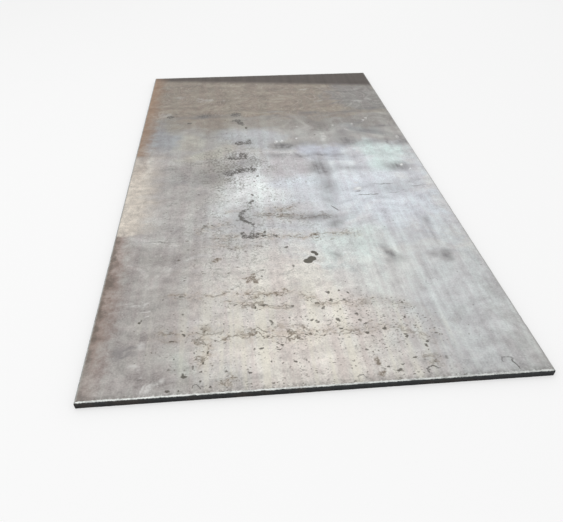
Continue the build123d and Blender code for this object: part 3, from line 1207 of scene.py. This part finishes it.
def underside_scale():
    """Finish of the underside: plain mill scale with rolling streaks and thin rust."""
    f = Finish("underside_scale")
    place = f.place
    streaks = f.lumps(place, (0.014, 0.55, 1.0), seed=41.0, detail=3.0, rough=0.6)
    broad = f.lumps(place, (0.25, 0.35, 1.0), seed=42.0, detail=4.0, rough=0.6)
    mottle = f.lumps(place, (0.035, 0.035, 1.0), seed=43.0, detail=5.0, rough=0.65)
    colour = f.mix(f.ease(broad, 0.35, 0.65), UNDER_DARK, UNDER_PALE)
    colour = f.mix(f.ease(mottle + 0.5 * broad, 0.84, 0.98) * 0.7, colour, RUST)
    colour = f.scaled(colour, 1.0 + 0.3 * (streaks - 0.5) + 0.4 * (mottle - 0.5))
    return f.surface(
        {"Base Color": colour, "Roughness": 0.45 + 0.4 * (mottle - 0.5), "Metallic": 0.7},
        [(mottle + 0.5 * streaks, UNDER_RELIEF)],
    )


def make_plate():
    """The plate, as one closed mesh with a finish for its top face, its edges and its underside."""
    points, faces, part = plate_surface()
    mesh = bpy.data.meshes.new("hot_rolled_plate")
    mesh.from_pydata(points.tolist(), [], faces)
    for finish in (rolled_face(), sheared_steel(), underside_scale()):
        mesh.materials.append(finish)
    mesh.polygons.foreach_set("material_index", part.astype(np.int32))
    mesh.shade_smooth()
    mesh.set_sharp_from_angle(angle=math.radians(SHARP_ANGLE))
    mesh.validate()
    plate = bpy.data.objects.new("hot_rolled_plate", mesh)
    bpy.context.scene.collection.objects.link(plate)
    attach(plate, "root")
    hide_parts("steel_plate")
    return plate


# Stage

WHITE = shade(255, 255, 255)
FLOOR_PALE = shade(250, 250, 250)
FLOOR_GLOW = 0.5
FLOOR_SEEN = shade(251, 251, 251)
FLOOR_HALF = 30.0
FLOOR_DROP = 0.0004
WORLD_LEVEL = 0.80

# Softboxes: place, target, width, height and power
SOFTBOX_TOP = ((-1.5, -1.0, 5.0), (0.0, 0.0, 0.0), 5.0, 5.0, 58.0)
SOFTBOX_GLOW = ((1.3, 5.2, 2.9), (0.2, 0.0, 0.0), 3.4, 1.8, 12.0)


def make_floor():
    """Plain pale floor just under the plate. What sees it directly or in a reflection gets it part lit and
    part as an even pale card, so that it is one level all over and still keeps the plate's shadow."""
    corners = FLOOR_HALF * np.array([(-1, -1, 0), (1, -1, 0), (1, 1, 0), (-1, 1, 0)], float)
    corners[:, 2] = -FLOOR_DROP
    mesh = bpy.data.meshes.new("floor")
    mesh.from_pydata(corners.tolist(), [], [(0, 1, 2, 3)])
    f = Finish("pale_floor")
    path = f.add("ShaderNodeLightPath", {}, {}, "Is Camera Ray")
    seen = f.greatest([path, path.also("Is Glossy Ray"), path.also("Is Transmission Ray")])
    lit = f.add("ShaderNodeBsdfDiffuse", {}, {"Color": FLOOR_PALE})
    card = f.add("ShaderNodeEmission", {}, {"Color": FLOOR_SEEN, "Strength": 1.0})
    shader = f.add("ShaderNodeMixShader", {}, {0: seen * FLOOR_GLOW, 1: lit, 2: card})
    f.add("ShaderNodeOutputMaterial", {}, {"Surface": shader})
    mesh.materials.append(f.material)
    floor = bpy.data.objects.new("floor", mesh)
    bpy.context.scene.collection.objects.link(floor)


def make_softbox(name, place, target, width, height, power):
    """Large area light that faces the target."""
    lamp = bpy.data.lights.new(name, "AREA")
    lamp.shape = "RECTANGLE"
    lamp.size = width
    lamp.size_y = height
    lamp.energy = power
    box = bpy.data.objects.new(name, lamp)
    away = np.array(place) - np.array(target)
    turn = math.atan2(away[0], -away[1])
    tilt = math.atan2(math.hypot(away[0], away[1]), away[2])
    box.location = place
    box.rotation_euler = (tilt, 0.0, turn)
    box.visible_camera = False
    bpy.context.scene.collection.objects.link(box)


def make_world():
    """Even soft light from all round."""
    world = bpy.data.worlds.new("studio")
    world.use_nodes = True
    background = world.node_tree.nodes["Background"]
    background.inputs["Color"].default_value = WHITE
    background.inputs["Strength"].default_value = WORLD_LEVEL
    bpy.context.scene.world = world


def make_camera():
    """Camera at the photograph's viewing angle, level, turned to the right and looking down."""
    lens = bpy.data.cameras.new("camera")
    lens.sensor_width = SENSOR_MM
    lens.sensor_fit = "HORIZONTAL"
    lens.lens = FOCAL_PIXELS / IMAGE_WIDTH * SENSOR_MM
    lens.clip_end = VIEW_END
    camera = bpy.data.objects.new("camera", lens)
    camera.location = CAMERA_PLACE
    camera.rotation_euler = (math.radians(90.0 - CAMERA_DOWN), 0.0, math.radians(-CAMERA_TURN))
    bpy.context.scene.collection.objects.link(camera)
    bpy.context.scene.camera = camera


make_plate()
make_floor()
make_softbox("softbox_top", *SOFTBOX_TOP)
make_softbox("softbox_glow", *SOFTBOX_GLOW)
make_world()
make_camera()
bpy.context.scene.view_settings.view_transform = "Standard"
